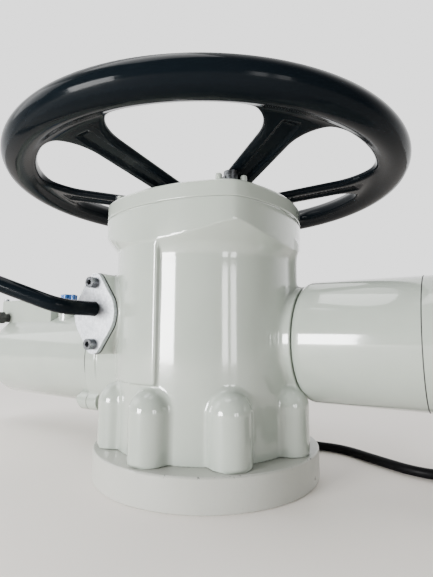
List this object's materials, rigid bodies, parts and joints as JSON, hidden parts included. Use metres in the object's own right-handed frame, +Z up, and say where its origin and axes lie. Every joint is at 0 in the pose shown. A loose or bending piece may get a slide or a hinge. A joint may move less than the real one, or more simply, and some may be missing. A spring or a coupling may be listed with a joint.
{
  "type": "motorized valve actuator",
  "caption": "Electric multi-turn valve actuator: flanged gear case with motor, control housing, handwheel, declutch lever and supply cable.",
  "frame": {"origin": "centre of the valve mounting face, at the bottom of the base flange", "axes": "+Z up along the output axis, +X towards the control housing, -X towards the motor, -Y towards the declutch lever"},
  "size_m": [0.726, 0.3892, 0.2926],
  "materials": {
    "casing_paint": "glossy light grey enamel",
    "base_paint": "semi-gloss grey enamel",
    "black_gloss": "gloss black",
    "zinc_plate": "mottled zinc plating",
    "screw_steel": "bright steel",
    "machined_steel": "turned",
    "bearing_steel": "polished",
    "bronze": "machined bronze",
    "seal_rubber": "matt",
    "cable_rubber": "smooth sheath",
    "motor_core": "varnished laminations",
    "blue_plastic": "moulded",
    "black_plastic": "moulded",
    "board_green": "solder mask",
    "display_glass": "clear",
    "nickel_brass": "nickel plated"
  },
  "bodies": {
    "casing": {"base_flange": "base_paint", "base_screws": "screw_steel", "base_seal": "seal_rubber", "cable_coil": "cable_rubber", "cable_gland": "nickel_brass", "cable_plug": "black_plastic", "conduit_fitting": "black_plastic", "control_board": "board_green", "control_cover": "casing_paint", "control_cover_screws": "screw_steel", "control_housing": "casing_paint", "cover_bearing_balls": "bearing_steel", "cover_bearing_outer_ring": "bearing_steel", "cover_screws": "screw_steel", "cover_seal": "seal_rubber", "display_window": "display_glass", "filler_plug": "blue_plastic", "gear_case": "casing_paint", "lever_gasket": "seal_rubber", "lever_plate": "zinc_plate", "lever_plate_screws": "screw_steel", "lever_seal": "seal_rubber", "lever_spring": "machined_steel", "lower_bearing_balls": "bearing_steel", "lower_bearing_outer_ring": "bearing_steel", "motor_bearing_plate": "machined_steel", "motor_box_cover": "casing_paint", "motor_box_screws": "screw_steel", "motor_end_cap": "casing_paint", "motor_housing": "casing_paint", "motor_screws": "casing_paint", "motor_stator": "motor_core", "motor_terminal_box": "casing_paint", "supply_cable": "cable_rubber", "terminal_block": "black_plastic", "terminal_box": "casing_paint", "terminal_cover": "casing_paint", "terminal_cover_screws": "screw_steel", "top_cover": "casing_paint", "worm_bearing_balls": "bearing_steel", "worm_bearing_outer_rings": "bearing_steel"},
    "drive": {"drive_sleeve": "machined_steel", "drive_bush": "bronze", "bush_lock_ring": "machined_steel", "worm_wheel": "bronze", "lower_bearing_inner_ring": "bearing_steel"},
    "clutch": {"clutch_ring": "machined_steel"},
    "hand_drive": {"handwheel": "black_gloss", "handwheel_sleeve": "machined_steel", "handwheel_screws": "screw_steel", "stem_cap": "black_plastic", "cover_bearing_inner_ring": "bearing_steel"},
    "worm": {"worm_shaft": "machined_steel", "motor_rotor": "motor_core", "worm_bearing_inner_rings": "bearing_steel"},
    "lever": {"declutch_lever": "black_gloss", "lever_grip": "black_plastic", "clutch_fork": "machined_steel"},
    "mode_knob": {"mode_selector": "black_plastic"},
    "open_close_knob": {"open_close_selector": "black_plastic"}
  },
  "joints": [
    {"name": "worm_spin", "type": "hinge", "parent": "casing", "child": "worm", "pos_m": [0, 0.05, 0.0964], "axis": [1, 0, 0], "continuous": true},
    {"name": "drive_spin", "type": "hinge", "parent": "casing", "child": "drive", "pos_m": [0, 0, 0.05], "axis": [0, 0, 1], "continuous": true},
    {"name": "clutch_slide", "type": "slide", "parent": "drive", "child": "clutch", "axis": [0, 0, 1], "range_m": [0, 0.0125]},
    {"name": "handwheel_spin", "type": "hinge", "parent": "casing", "child": "hand_drive", "pos_m": [0, 0, 0.25], "axis": [0, 0, 1], "continuous": true},
    {"name": "declutch_lever_press", "type": "hinge", "parent": "casing", "child": "lever", "pos_m": [-0.071, 0, 0.1495], "axis": [0, -1, 0], "range_deg": [0, 10], "stiffness_Nm_per_rad": 6, "springref_deg": -8.59},
    {"name": "mode_selector_turn", "type": "hinge", "parent": "casing", "child": "mode_knob", "pos_m": [0.238, 0.0195, 0.0933], "axis": [1, 0, 0], "range_deg": [-60, 60]},
    {"name": "open_close_selector_turn", "type": "hinge", "parent": "casing", "child": "open_close_knob", "pos_m": [0.238, 0.0505, 0.0933], "axis": [1, 0, 0], "range_deg": [-45, 45], "stiffness_Nm_per_rad": 0.06}
  ],
  "couplings": [
    {"joint": "drive_spin", "follows": "worm_spin", "ratio": 0.052632},
    {"joint": "clutch_slide", "follows": "declutch_lever_press", "m_per_rad": 0.071}
  ]
}
